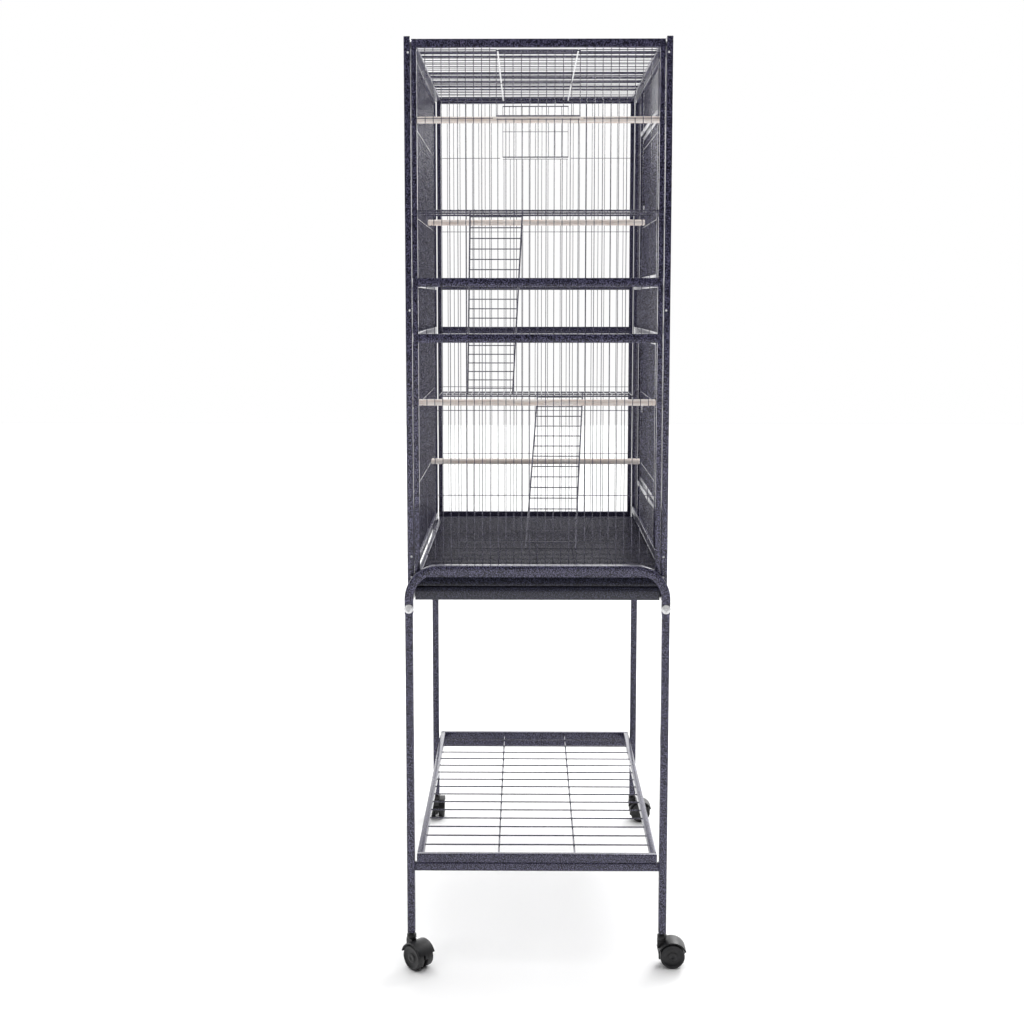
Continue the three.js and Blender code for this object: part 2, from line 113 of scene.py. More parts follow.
def turned(profile, start, axis, sides=24):
    """Turned body: at each distance h along the axis from start, a circle of radius r, for every
    (h, r) of the profile."""
    h, r = np.asarray(profile, float).T
    axis = unit(np.asarray(axis, float))
    s = unit(np.cross(np.eye(3)[np.argmin(np.abs(axis))], axis))
    up = np.cross(axis, s)
    a = 2 * np.pi * np.arange(sides) / sides
    ring = np.cos(a)[:, None] * s + np.sin(a)[:, None] * up
    return loft(np.asarray(start) + h[:, None, None] * axis + r[:, None, None] * ring)


def wires(starts, ends, radius=WIRE, sides=8):
    """Many straight round wires at once: both ends of each are the circle
    r (cos a * s + sin a * u), with s and u square to that wire."""
    starts, ends = np.broadcast_arrays(np.asarray(starts, float), np.asarray(ends, float))
    t = unit(ends - starts)
    s = unit(np.cross(np.eye(3)[np.argmin(np.abs(t), axis=-1)], t))
    u = np.cross(t, s)
    a = 2 * np.pi * np.arange(sides) / sides
    ring = radius * (np.cos(a)[:, None] * s[:, None] + np.sin(a)[:, None] * u[:, None])
    points = np.stack([starts[:, None] + ring, ends[:, None] + ring], axis=1)
    here = np.arange(points.size // 3).reshape(len(starts), 2, sides)
    beside = np.roll(here, -1, axis=2)
    quads = np.stack([here[:, 0], beside[:, 0], beside[:, 1], here[:, 1]], axis=-1).reshape(-1, 4)
    return points.reshape(-1, 3), [quads, np.concatenate([here[:, 0, ::-1], here[:, 1]])]


def rounded(half_a, half_b, corner):
    """Rectangle 2 half_a by 2 half_b with quarter circles of radius corner at its corners."""
    q = np.repeat(np.arange(4), 4) * np.pi / 2
    a = q + np.tile(np.arange(4) * np.pi / 6, 4)
    signs = np.stack([np.cos(q + np.pi / 4), np.sin(q + np.pi / 4)], -1)
    centre = np.sign(signs) * (np.array([half_a, half_b]) - corner)
    return centre + corner * np.stack([np.cos(a), np.sin(a)], -1)


def bars(boxes, soften=SOFTEN):
    """Straight bars with softened edges: every box ((x0, x1), (y0, y1), (z0, z1)) is a rounded
    rectangle carried along the longest side, drawn in at both ends along a quarter circle."""
    made = []
    for box in boxes:
        box = np.sort(np.array(box, float), axis=1)
        size = box[:, 1] - box[:, 0]
        k = int(np.argmax(size))
        i, j = (k + 1) % 3, (k + 2) % 3
        corner = min(soften, 0.45 * size[i], 0.45 * size[j])
        a = np.radians([0, 30, 60, 90])
        inset = corner * (1 - np.sin(a))
        start = corner * (1 - np.cos(a))
        along = np.concatenate([box[k, 0] + start, box[k, 1] - start[::-1]])
        inset = np.concatenate([inset, inset[::-1]])
        flat = rounded(size[i] / 2, size[j] / 2, corner)
        reach = 1 - inset[:, None, None] / (np.array([size[i], size[j]]) / 2)
        ring = flat[None] * reach + np.array([box[i].mean(), box[j].mean()])
        points = np.empty(ring.shape[:2] + (3,))
        points[..., i] = ring[..., 0]
        points[..., j] = ring[..., 1]
        points[..., k] = along[:, None]
        made.append(loft(points))
    return join(made)


def strip(outline, low, high, axis):
    """Outline, a closed row of points turning counter-clockwise about the axis (0 for x, 1 for y),
    carried straight from low to high."""
    outline = np.asarray(outline, float)
    points = np.empty((2, len(outline), 3))
    points[..., (axis + 1) % 3] = outline[None, :, 0]
    points[..., (axis + 2) % 3] = outline[None, :, 1]
    points[..., axis] = np.array([low, high])[:, None]
    return loft(points)


def cross_head(centre, axis, radius, height, sides=24):
    """Domed screw head: height sqrt(1 - 0.85 q^2) at the share q of its radius, less a cross
    where the distance to either diameter is small."""
    q = np.array([1.0, 1.0, 0.93, 0.82, 0.7, 0.62, 0.58, 0.45, 0.3, 0.16, 0.04])
    a = 2 * np.pi * np.arange(sides) / sides + np.pi / sides
    near = q[:, None] * np.minimum(np.abs(np.sin(a)), np.abs(np.cos(a)))
    rise = height * np.sqrt(1 - 0.85 * q[:, None] ** 2) * np.ones_like(near)
    rise -= np.where((near < 0.13) & (q[:, None] < 0.6), 0.55 * height, 0)
    rise[0] = 0
    axis = unit(np.asarray(axis, float))
    s = unit(np.cross(np.eye(3)[np.argmin(np.abs(axis))], axis))
    u = np.cross(axis, s)
    flat = np.cos(a)[:, None] * s + np.sin(a)[:, None] * u
    return loft(np.asarray(centre) + rise[..., None] * axis + radius * q[:, None, None] * flat)


def coil(start, end, radius, wire, turns):
    """Helix about the line from start to end: the radius turns evenly as it goes along."""
    start, end = np.asarray(start, float), np.asarray(end, float)
    axis = unit(end - start)
    s = unit(np.cross(np.eye(3)[np.argmin(np.abs(axis))], axis))
    u = np.cross(axis, s)
    t = np.linspace(0, 1, 12 * turns + 1)[:, None]
    a = 2 * np.pi * turns * t
    path = start + t * (end - start) + radius * (np.cos(a) * s + np.sin(a) * u)
    return formed(path, circle(wire, 6), axis)


def join(shapes):
    """Several shapes as one."""
    points, faces, start = [], [], 0
    for more, tables in shapes:
        points.append(more)
        faces += [table + start for table in tables]
        start += len(more)
    return np.concatenate(points), faces


def swing(shape, degrees, centre):
    """The shape turned about +Z and then moved from the origin to centre."""
    c, s = math.cos(math.radians(degrees)), math.sin(math.radians(degrees))
    turn = np.array([[c, s, 0], [-s, c, 0], [0, 0, 1]])
    return shape[0] @ turn + np.asarray(centre, float), shape[1]


# Finishes.

def new_finish(name, colour, roughness, metallic=0.0, **sockets):
    """A material, a function that adds nodes to it, and one that sets its shader's inputs."""
    material = bpy.data.materials.new(name)
    material.use_nodes = True
    tree = material.node_tree
    shader = tree.nodes["Principled BSDF"]

    def add(kind, settings=None, **inputs):
        made = tree.nodes.new("ShaderNode" + kind)
        for key, value in (settings or {}).items():
            setattr(made, key, value)
        feed(made, inputs)
        return made

    def feed(made, inputs):
        for key, value in inputs.items():
            socket = made.inputs[key.replace("_", " ")]
            if isinstance(value, bpy.types.NodeSocket):
                tree.links.new(value, socket)
            else:
                socket.default_value = value

    feed(shader, {"Base_Color": (*colour, 1), "Roughness": roughness, "Metallic": metallic, **sockets})
    return material, add, lambda **inputs: feed(shader, inputs)


def ramp(add, value, *stops):
    """Colour that runs through (position, colour) stops."""
    made = add("ValToRGB", Fac=value)
    made.color_ramp.elements[0].position, made.color_ramp.elements[1].position = stops[0][0], stops[-1][0]
    for position, colour in stops[1:-1]:
        made.color_ramp.elements.new(position)
    for element, (position, colour) in zip(made.color_ramp.elements, stops):
        element.color = (*colour, 1)
    return made.outputs["Color"]


def hammered_coat(name, dark, mid, pale, gloss):
    """Hammered powder coat: shallow pits from smooth cells about 3 mm wide, flecks from a fine
    noise, a slow drift in gloss over 100 mm and a clear top layer."""
    material, add, shade = new_finish(name, mid, gloss, 0.15, Coat_Weight=0.5,
                                      Coat_Roughness=0.14, Specular_IOR_Level=0.3)
    place = add("TexCoord").outputs["Object"]
    pits = add("TexVoronoi", {"feature": "SMOOTH_F1"}, Vector=place, Scale=380, Smoothness=0.7)
    fleck = add("TexNoise", Vector=place, Scale=520, Detail=2, Roughness=0.7)
    drift = add("TexNoise", Vector=place, Scale=9, Detail=2)
    colour = ramp(add, fleck.outputs["Fac"], (0.4, dark), (0.5, mid), (0.6, pale))
    rough = add("MapRange", Value=drift.outputs["Fac"], To_Min=gloss - 0.06, To_Max=gloss + 0.1)
    bump = add("Bump", Strength=0.55, Distance=0.0006, Height=pits.outputs["Distance"])
    shade(Base_Color=colour, Roughness=rough.outputs["Result"], Normal=bump.outputs["Normal"])
    return material


def tray_sheet():
    """Dark stoved sheet: faint rolled streaks along y and a fine orange-peel bump."""
    material, add, shade = new_finish("tray_sheet", (0.018, 0.019, 0.027), 0.42)
    place = add("TexCoord").outputs["Object"]
    streak = add("Mapping", Vector=place, Scale=(60, 3, 60))
    rolled = add("TexNoise", Vector=streak.outputs["Vector"], Scale=2, Detail=3)
    peel = add("TexNoise", Vector=place, Scale=260, Detail=2)
    colour = ramp(add, rolled.outputs["Fac"], (0.35, (0.006, 0.006, 0.011)), (0.65, (0.03, 0.03, 0.045)))
    bump = add("Bump", Strength=0.3, Distance=0.0005, Height=peel.outputs["Fac"])
    rough = add("MapRange", Value=peel.outputs["Fac"], To_Min=0.34, To_Max=0.52)
    shade(Base_Color=colour, Roughness=rough.outputs["Result"], Normal=bump.outputs["Normal"])
    return material


def perch_wood():
    """Pale sanded hardwood dowel: grain rings drawn out along x, with short darker pores."""
    material, add, shade = new_finish("perch_wood", (0.75, 0.6, 0.52), 0.55)
    place = add("TexCoord").outputs["Object"]
    drawn = add("Mapping", Vector=place, Scale=(7, 150, 150))
    grain = add("TexNoise", Vector=drawn.outputs["Vector"], Scale=1.6, Detail=4, Distortion=0.5)
    thin = add("Mapping", Vector=place, Scale=(60, 900, 900))
    pores = add("TexNoise", Vector=thin.outputs["Vector"], Scale=1.2, Detail=2)
    tone = ramp(add, grain.outputs["Fac"], (0.3, (0.84, 0.69, 0.61)), (0.5, (0.94, 0.85, 0.79)),
                (0.7, (0.97, 0.92, 0.89)))
    pore = ramp(add, pores.outputs["Fac"], (0.28, (0.82, 0.74, 0.7)), (0.4, (1, 1, 1)))
    colour = add("MixRGB", {"blend_type": "MULTIPLY"}, Fac=1.0, Color1=tone, Color2=pore)
    bump = add("Bump", Strength=0.35, Distance=0.0004, Height=grain.outputs["Fac"])
    rough = add("MapRange", Value=grain.outputs["Fac"], To_Min=0.48, To_Max=0.7)
    shade(Base_Color=colour.outputs["Color"], Roughness=rough.outputs["Result"],
          Normal=bump.outputs["Normal"])
    return material


def castor_plastic():
    """Black moulded nylon: a fine sparked grain and dusty scuffs that lift the colour."""
    material, add, shade = new_finish("castor_plastic", (0.008, 0.008, 0.01), 0.4)
    place = add("TexCoord").outputs["Object"]
    grain = add("TexNoise", Vector=place, Scale=900, Detail=2)
    scuff = add("TexNoise", Vector=place, Scale=34, Detail=5, Roughness=0.7)
    colour = ramp(add, scuff.outputs["Fac"], (0.45, (0.006, 0.006, 0.008)), (0.8, (0.026, 0.025, 0.026)))
    rough = add("MapRange", Value=scuff.outputs["Fac"], To_Min=0.3, To_Max=0.55)
    bump = add("Bump", Strength=0.3, Distance=0.0003, Height=grain.outputs["Fac"])
    shade(Base_Color=colour, Roughness=rough.outputs["Result"], Normal=bump.outputs["Normal"])
    return material


def bright_zinc():
    """Bright zinc plate: turning marks as a fine noise, and patches of duller plate."""
    material, add, shade = new_finish("bright_zinc", (0.9, 0.9, 0.92), 0.3, 0.3)
    place = add("TexCoord").outputs["Object"]
    patch = add("TexNoise", Vector=place, Scale=150, Detail=4)
    fine = add("TexNoise", Vector=place, Scale=2200, Detail=2)
    colour = ramp(add, patch.outputs["Fac"], (0.35, (0.8, 0.8, 0.82)), (0.65, (0.95, 0.95, 0.96)))
    rough = add("MapRange", Value=patch.outputs["Fac"], To_Min=0.4, To_Max=0.25)
    bump = add("Bump", Strength=0.25, Distance=0.0001, Height=fine.outputs["Fac"])
    shade(Base_Color=colour, Roughness=rough.outputs["Result"], Normal=bump.outputs["Normal"])
    return material


def studio_floor():
    """Plain pale floor with a barely seen tone drift."""
    material, add, shade = new_finish("studio_floor", (0.94, 0.94, 0.94), 0.6)
    place = add("TexCoord").outputs["Object"]
    drift = add("TexNoise", Vector=place, Scale=1.5, Detail=2)
    shade(Base_Color=ramp(add, drift.outputs["Fac"], (0.3, (0.93, 0.93, 0.93)), (0.7, (0.96, 0.96, 0.96))))
    return material


FINISHES = {
    "hammered_frame": hammered_coat("hammered_coat", (0.002, 0.002, 0.007), (0.014, 0.013, 0.032),
                                    (0.17, 0.16, 0.28), 0.27),
    # Painted shade: the frame's hammered coat, darkened to stand in for the shade that falls on the base
    # sheets under the bow.
    "base_coat_painted_shade": hammered_coat("base_coat_painted_shade", (0.002, 0.002, 0.006), (0.007, 0.008, 0.018),
                               (0.07, 0.07, 0.12), 0.36),
    # Painted light: the frame's hammered coat, made about three times lighter to stand in for the light that
    # the thin wires catch from above.
    "coated_wire": hammered_coat("wire_coat_painted_lit", (0.016, 0.015, 0.03), (0.045, 0.043, 0.07),
                                 (0.18, 0.17, 0.25), 0.22),
    "tray_sheet": tray_sheet(),
    "perch_wood": perch_wood(),
    "castor_plastic": castor_plastic(),
    "bright_zinc": bright_zinc(),
}


def piece(name, shapes, finish, nodes=(), body=ROOT):
    """Puts shapes into one mesh object with a finish, and lets it ride and stand for its nodes."""
    points, tables = join(shapes)
    mesh = bpy.data.meshes.new(name)
    starts = np.cumsum([0] + [k for t in tables for k in [t.shape[1]] * len(t)])[:-1]
    loops = np.concatenate([t.ravel() for t in tables])
    mesh.vertices.add(len(points))
    mesh.loops.add(len(loops))
    mesh.polygons.add(len(starts))
    mesh.vertices.foreach_set("co", points.astype(np.float32).ravel())
    mesh.loops.foreach_set("vertex_index", loops.astype(np.int32))
    mesh.polygons.foreach_set("loop_start", starts.astype(np.int32))
    mesh.update(calc_edges=True)
    mesh.validate()
    mesh.polygons.foreach_set("use_smooth", np.ones(len(starts), bool))
    mesh.set_sharp_from_angle(angle=math.radians(50))
    mesh.materials.append(FINISHES[finish])
    made = bpy.data.objects.new(name, mesh)
    bpy.context.scene.collection.objects.link(made)
    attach(made, body)
    if nodes:
        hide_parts(*nodes)
    return made


# Stand.

def leg_spots(end):
    """x of both legs and y of their middle."""
    left, right = (sum(limits(f"{end}_{side}_bow_bolt"))[0] / 2 for side in ("left", "right"))
    return left, right, sum(limits(f"{end}_bow"))[1] / 2


def bow(end):
    """Bent rectangular tube with rounded corners: up one leg, a quarter circle, level, a quarter
    circle and down; its mouths draw in a little."""
    left, right, y = leg_spots(end)
    low, high = limits(f"{end}_bow")
    top = high[2] - BOW[1]
    a = np.linspace(0, np.pi / 2, 19)
    rise = np.array([[right, low[2] + d] for d in (0, 0.4 * MM, 1.2 * MM, 14 * MM)])
    bend = np.stack([right - BOW_BEND + BOW_BEND * np.cos(a), top - BOW_BEND + BOW_BEND * np.sin(a)], -1)
    half = np.concatenate([rise, bend, [[(left + right) / 2 + 90 * MM, top]]])
    line = np.concatenate([half, (half * [-1, 1] + [left + right, 0])[::-1]])
    scale = np.ones(len(line))
    scale[[0, -1]] = 0.93
    scale[[1, -2]] = 0.98
    tube = formed(np.insert(line, 1, y, axis=1), rounded(*BOW, 3 * MM), (0, 1, 0), scale)
    piece(f"{end}_bow_tube", [tube], "hammered_frame", [f"{end}_bow"])


def leg_frame(end):
    """Two straight rectangular tubes with drawn-in lower rims, and a flat-sided crossbar between
    them on a bead of weld at each end."""
    left, right, y = leg_spots(end)
    low, high = limits(f"{end}_leg_frame")
    z = low[2] + np.array([0, 0.4, 1.3, 30]) * MM
    z = np.append(z, high[2])
    scale = np.array([0.88, 0.97, 1, 1, 1])
    legs = [formed(np.stack([np.full(5, x), np.full(5, y), z], -1), rounded(*LEG, 2.5 * MM), (0, 1, 0), scale)
            for x in (left, right)]
    bar = bars([((left + 3 * MM, right - 3 * MM), (y - 6 * MM, y + 6 * MM), (196 * MM, 213 * MM))], 2.2 * MM)
    beads = [turned([(0, 5 * MM), (0.6 * MM, 7.4 * MM), (2 * MM, 8.2 * MM), (3.2 * MM, 6.8 * MM)],
                    (x + s * (LEG[1] - 1 * MM), y, 204.5 * MM), (s, 0, 0), 16)
             for x, s in ((left, 1), (right, -1))]
    piece(f"{end}_leg_tubes", [*legs, bar, *beads], "hammered_frame", [f"{end}_leg_frame"])


def bow_bolt(end, side):
    """Domed cross-head bolt with a thin washer outside, and a hexagon nut on the threaded end
    inside; the thread is a row of ridges."""
    node = f"{end}_{side}_bow_bolt"
    low, high = limits(node)
    out = -1 if end == "front" else 1
    x, z = (low[0] + high[0]) / 2, (low[2] + high[2]) / 2
    y = leg_spots(end)[2]
    face = y + out * (BOW[0] + 0.3 * MM)
    washer = turned([(0, 8.8 * MM), (0.2 * MM, 9 * MM), (0.9 * MM, 9 * MM), (1.1 * MM, 8.7 * MM)],
                    (x, face, z), (0, out, 0))
    head = cross_head((x, face + out * 1.0 * MM, z), (0, out, 0), 7.6 * MM, 3.7 * MM)
    inside = y - out * (BOW[0] + 0.3 * MM)
    nut = turned([(0, 5.2 * MM), (0.5 * MM, 6 * MM), (4.5 * MM, 6 * MM), (5 * MM, 5.2 * MM)],
                 (x, inside, z), (0, -out, 0), 6)
    steps = np.arange(12)
    thread = np.stack([4 * MM + steps * 0.33 * MM, (2.9 - 0.35 * (steps % 2)) * MM], -1)
    shank = turned([(0, 2.9 * MM), *thread], (x, inside, z), (0, -out, 0), 12)
    piece(f"{end}_{side}_bolt_set", [washer, head, nut, shank], "bright_zinc", [node])


def storage_shelf():
    """Four square tubes with softened edges, and close cross wires over two long stiffening wires,
    all with their tips let into the tubes."""
    low, high = limits("storage_shelf")
    bar = 12 * MM
    (x0, y0, z0), (x1, y1, z1) = low, high
    tubes = bars([((x0, x1), (y0, y0 + bar), (z0, z1)), ((x0, x1), (y1 - bar, y1), (z0, z1)),
                  ((x0, x0 + bar), (y0 + bar, y1 - bar), (z0, z1)),
                  ((x1 - bar, x1), (y0 + bar, y1 - bar), (z0, z1))], 1.6 * MM)
    y = np.linspace(y0 + bar, y1 - bar, 17)[1:-1]
    z = z1 - 4.2 * MM
    across = wires([(x0 + 6 * MM, v, z) for v in y], [(x1 - 6 * MM, v, z) for v in y], 1.5 * MM)
    long_x = [MIDDLE - 76 * MM, MIDDLE + 76 * MM]
    under = z - 3 * MM
    along = wires([(x, y0 + 5 * MM, under) for x in long_x],
                  [(x, y1 - 5 * MM, under) for x in long_x], 1.9 * MM, 12)
    piece("shelf_tubes", [tubes], "hammered_frame", ["storage_shelf"])
    piece("shelf_wires", [across, along], "coated_wire")


def hood_shell(width):
    """Arched shell over the wheels: a band between two arcs, carried along the axle, whose edges
    draw in along a quarter circle at both sides."""
    rings = []
    for y, inset in ((-width, 1.4), (-width + 0.5, 0.5), (-width + 1.5, 0), (width - 1.5, 0),
                     (width - 0.5, 0.5), (width, 1.4)):
        a = np.linspace(0.12 * np.pi, 0.92 * np.pi, 25)
        outer = HOOD_R - 0.5 * inset * MM
        inner = (26.8 + 0.5 * inset) * MM
        arc = np.concatenate([outer * np.stack([np.cos(a), np.sin(a)], -1),
                              inner * np.stack([np.cos(a), np.sin(a)], -1)[::-1]])
        rings.append(np.stack([arc[:, 0] + TRAIL, np.full(len(arc), y * MM), arc[:, 1] + AXLE_Z], -1))
    points, tables = loft(np.array(rings))
    return points, [table[:, ::-1] for table in tables]


def castor(name):
    """Twin-wheel castor: arched hood with a middle web and a turned stem boss, and two dished
    wheels with rounded treads on one axle."""
    end, side = name.split("_")
    left, right, y = leg_spots(end)
    spot = (left if side == "left" else right, y, 0)
    a = np.linspace(0.02, np.pi - 0.02, 19)
    web = np.stack([26.4 * MM * np.cos(a) + TRAIL, 26.4 * MM * np.sin(a) + AXLE_Z], -1)
    web = np.concatenate([web, [[-6 * MM, 13 * MM], [TRAIL - 8 * MM, 12 * MM], [TRAIL + 8 * MM, 12 * MM]]])
    web_body = strip(web[::-1, ::-1], -3.2 * MM, 3.2 * MM, 1)
    stem = [(0, 7.5), (0.8, 8.6), (3, 9.4), (9, 9.4), (10, 8.2), (11.6, 5.5), (13.6, 5.5)]
    boss = turned(np.array(stem) * MM, (0, 0, 54 * MM), (0, 0, 1))
    neck = strip(np.array([(40, 2), (54, 8), (56, -8), (52, -9.4), (38, -9), (36, -4)]) * MM,
                 -6 * MM, 6 * MM, 1)
    hood = join([hood_shell(20), web_body, boss, neck])
    piece(f"{name}_hood", [swing(hood, HEADINGS[name], spot)], "castor_plastic",
          [f"{name}_castor_hood"], f"{name}_castor")
    tread = [(4.2, 8), (4.2, 23.2), (5, 24.3), (6.2, AXLE_Z / MM), (16.8, AXLE_Z / MM), (18.2, 24.3),
             (19, 23.2), (19, 20.2), (18.2, 19.4), (17.4, 18.6), (17.2, 10), (18.4, 9.2), (18.8, 8.4),
             (18.8, 3.4), (18.2, 2.8)]
    wheels = [turned(np.array(tread) * MM, (TRAIL, 0, AXLE_Z), (0, s, 0), 40) for s in (-1, 1)]
    hub = turned(np.array([(-4.4, 4), (4.4, 4)]) * MM, (TRAIL, 0, AXLE_Z), (0, 1, 0), 12)
    piece(f"{name}_wheel_pair", [swing(join([*wheels, hub]), HEADINGS[name], spot)], "castor_plastic",
          [f"{name}_castor_wheels"], f"{name}_wheels")


# Base.

def base_sheets():
    """Folded sheets round the tray. An end sheet's section is a straight upper wall over a prouder
    rolled lip; the ledge for the tray and the runner for the grate fold inwards from it. The side
    sheet and the sill are flat."""
    # Every sheet here takes the copy of the frame's coat that is darkened with painted shade.
    for end, s in (("front", 1), ("back", -1)):
        low, high = limits(f"base_{end}_sheet")
        face = low[1] if end == "front" else high[1]
        foot, top = low[2], high[2]
        wall = np.array([(0.9, 0), (0, 1.5), (0, 24), (0.6, 25.4), (2, 26), (4.7, 27), (4.7, 43.6),
                         (5.4, 44.5), (6.6, 44.5), (7.2, 43.8), (7.2, 0)]) * MM
        wall = wall * [s, 1] + [face, foot]
        inner = sorted((face + s * 6.8 * MM, face + s * 17.8 * MM))
        deeper = sorted((face + s * 6.8 * MM, face + s * 20.2 * MM))
        x = (low[0] + 2.8 * MM, high[0])
        folds = bars([(x, inner, (foot, foot + 2 * MM)), (x, deeper, (top - 2.1 * MM, top))], 0.5 * MM)
        piece(f"base_{end}_fold", [strip(wall[::-s], low[0], high[0], 0), folds], "base_coat_painted_shade",
              [f"base_{end}_sheet"])
    for node in ("base_side_sheet", "base_sill"):
        low, high = limits(node)
        piece(f"{node}_fold", [bars([tuple(zip(low, high))], 0.6 * MM)], "base_coat_painted_shade", [node])


def seed_tray():
    """Shallow tray: floor with shallow pressed ribs, thin walls with round rims, and a thicker
    pull face on the door side."""
    low, high = limits("seed_tray")
    (x0, y0, z0), (x1, y1, z1) = low, high
    wall = 1.6 * MM
    floor = bars([((x0, x1 - 9 * MM), (y0, y1), (z0, z0 + 2 * MM))])
    ribs = bars([((x0 + 40 * MM, x1 - 60 * MM), (y - 3 * MM, y + 3 * MM), (z0 + 1 * MM, z0 + 3.4 * MM))
                 for y in np.linspace(y0 + 90 * MM, y1 - 90 * MM, 6)], 1.1 * MM)
    up = (z0, z1 - 1 * MM)
    walls = bars([((x0, x0 + wall), (y0, y1), up), ((x0, x1 - 8 * MM), (y0, y0 + wall), up),
                  ((x0, x1 - 8 * MM), (y1 - wall, y1), up), ((x1 - 10 * MM, x1), (y0, y1), (z0, z1))])
    r = 1.6 * MM
    z = z1 - r
    rim = wires([(x0 + r, y0 + r, z), (x0 + r, y0 + r, z), (x0 + r, y1 - r, z)],
                [(x0 + r, y1 - r, z), (x1 - 5 * MM, y0 + r, z), (x1 - 5 * MM, y1 - r, z)], r, 12)
    piece("tray_sheet_pan", [floor, ribs, walls, rim], "tray_sheet", ["seed_tray"], "seed_tray")


def floor_grate():
    """Wire grate: close cross wires over five long wires in a flat-bar frame, with a face bar."""
    low, high = limits("floor_grate")
    (x0, y0, z0), (x1, y1, z1) = low, high
    top = z0 + 5 * MM
    rim = bars([((x0, x0 + 7 * MM), (y0, y1), (z0, top)), ((x1 - 7 * MM, x1), (y0, y1), (z0, z1)),
                ((x0, x1), (y0, y0 + 7 * MM), (z0, top)), ((x0, x1), (y1 - 7 * MM, y1), (z0, top))])
    y = np.linspace(y0 + 4 * MM, y1 - 4 * MM, 49)[1:-1]
    across = wires([(x0 + 3 * MM, v, top - 1.4 * MM) for v in y],
                   [(x1 - 3 * MM, v, top - 1.4 * MM) for v in y], 1.1 * MM)
    x = MIDDLE + np.array([-156, -78, 0, 78, 156]) * MM
    along = wires([(v, y0 + 3 * MM, z0 + 1.4 * MM) for v in x],
                  [(v, y1 - 3 * MM, z0 + 1.4 * MM) for v in x], 1.3 * MM)
    piece("grate_rim", [rim], "hammered_frame", ["floor_grate"], "floor_grate")
    piece("grate_wires", [across, along], "coated_wire", [], "floor_grate")


# Panels.

def pane(node, gaps=None, foot=None, doorway=0.0):
    """Welded wires of one pane: uprights at even steps about PITCH apart, their tips let into the
    rails, and level wires at the CROSSINGS laid against their inner side. Uprights nearer the
    middle than doorway stop at the height foot, and the level wire there stays clear of it."""
    low, high = limits(node)
    k = int(np.argmin((high - low)[:2]))
    u = 1 - k
    depth = (low[k] + high[k]) / 2
    centre = MIDDLE if k == 0 else 0.0
    inward = -np.sign(depth - centre)
    gaps = gaps or max(1, round((high[u] - low[u]) / PITCH))
    at = np.linspace(low[u], high[u], gaps + 1)[1:-1]
    tops = np.full(len(at), high[2] + 2 * MM)
    middle = MIDDLE if u == 0 else 0.0
    if doorway:
        tops[np.abs(at - middle) < doorway + 1 * MM] = foot
    uprights = np.zeros((len(at), 2, 3))
    uprights[..., k] = depth
    uprights[..., u] = at[:, None]
    uprights[:, 0, 2] = low[2] - 2 * MM
    uprights[:, 1, 2] = tops
    level = CROSSINGS[(CROSSINGS > low[2]) & (CROSSINGS < high[2])]
    spans = [(z, low[u] - 2 * MM, high[u] + 2 * MM) for z in level]
    if doorway:
        spans = [span for span in spans if span[0] != CROSSINGS[3]]
        spans += [(CROSSINGS[3], low[u] - 2 * MM, middle - doorway - 9 * MM),
                  (CROSSINGS[3], middle + doorway + 9 * MM, high[u] + 2 * MM),
                  (foot - 1 * MM, middle - doorway - 2 * MM, middle + doorway + 2 * MM)]
    made = [wires(uprights[:, 0], uprights[:, 1])]
    if spans:
        lines = np.zeros((len(spans), 2, 3))
        lines[..., k] = depth + inward * 2.2 * MM
        lines[..., 2] = np.array(spans)[:, :1]
        lines[..., u] = np.array(spans)[:, 1:]
        made.append(wires(lines[:, 0], lines[:, 1]))
    return made


def end_panel(end):
    """Welded frame of two stiles and four rails, three panes, and the nest door."""
    low, high = limits(f"{end}_end_frame")
    depth = (low[1], high[1])
    top = END_RAILS[3, 1] - 2 * MM
    stiles = [((low[0], low[0] + END_STILE), depth, (low[2], top)),
              ((high[0] - END_STILE, high[0]), depth, (low[2], top))]
    rails = [((low[0] + END_STILE, high[0] - END_STILE), depth, (a, min(b, top))) for a, b in END_RAILS]
    piece(f"{end}_end_rails", [bars(stiles + rails)], "hammered_frame", [f"{end}_end_frame"])
    for name in ("lower", "middle", "upper"):
        foot = (CROSSINGS[3] - 1 * MM, 77 * MM) if name == "upper" else (None, 0.0)
        piece(f"{end}_{name}_wires", pane(f"{end}_{name}_grille", 30, *foot), "coated_wire",
              [f"{end}_{name}_grille"])
    nest_door(end)


def nest_door(end):
    """Wire door: close uprights from a thick foot bar up to a hinge wire, a level wire at mid
    height, side wires, and hinge coils at both top corners."""
    node = f"{end}_nest_door"
    low, high = limits(node)
    out = -1 if end == "front" else 1
    y = (low[1] + high[1]) / 2
    r = WIRE
    at = np.linspace(low[0] + r, high[0] - r, 11)
    uprights = wires([(x, y, low[2] + r) for x in at], [(x, y, high[2] - 1.6 * MM) for x in at])
    near, foot_z = y + out * 0.1 * MM, low[2] + 1.5 * MM
    foot = wires([(low[0], near, foot_z)], [(high[0], near, foot_z)], 1.5 * MM, 12)
    mid = (low[2] + high[2]) / 2
    across = wires([(low[0], y - out * 0.2 * MM, mid)], [(high[0], y - out * 0.2 * MM, mid)])
    top = wires([(low[0], y, high[2] - 1.5 * MM)], [(high[0], y, high[2] - 1.5 * MM)], 1.3 * MM, 12)
    coils = [coil((x, y, high[2] - 1.5 * MM), (x + 14 * MM, y, high[2] - 1.5 * MM), 0.9 * MM, 0.6 * MM, 7)
             for x in (low[0] + 1 * MM, high[0] - 15 * MM)]
    piece(f"{end}_nest_door_wires", [uprights, foot, across, top, *coils], "coated_wire", [node],
          f"{end}_nest_door")


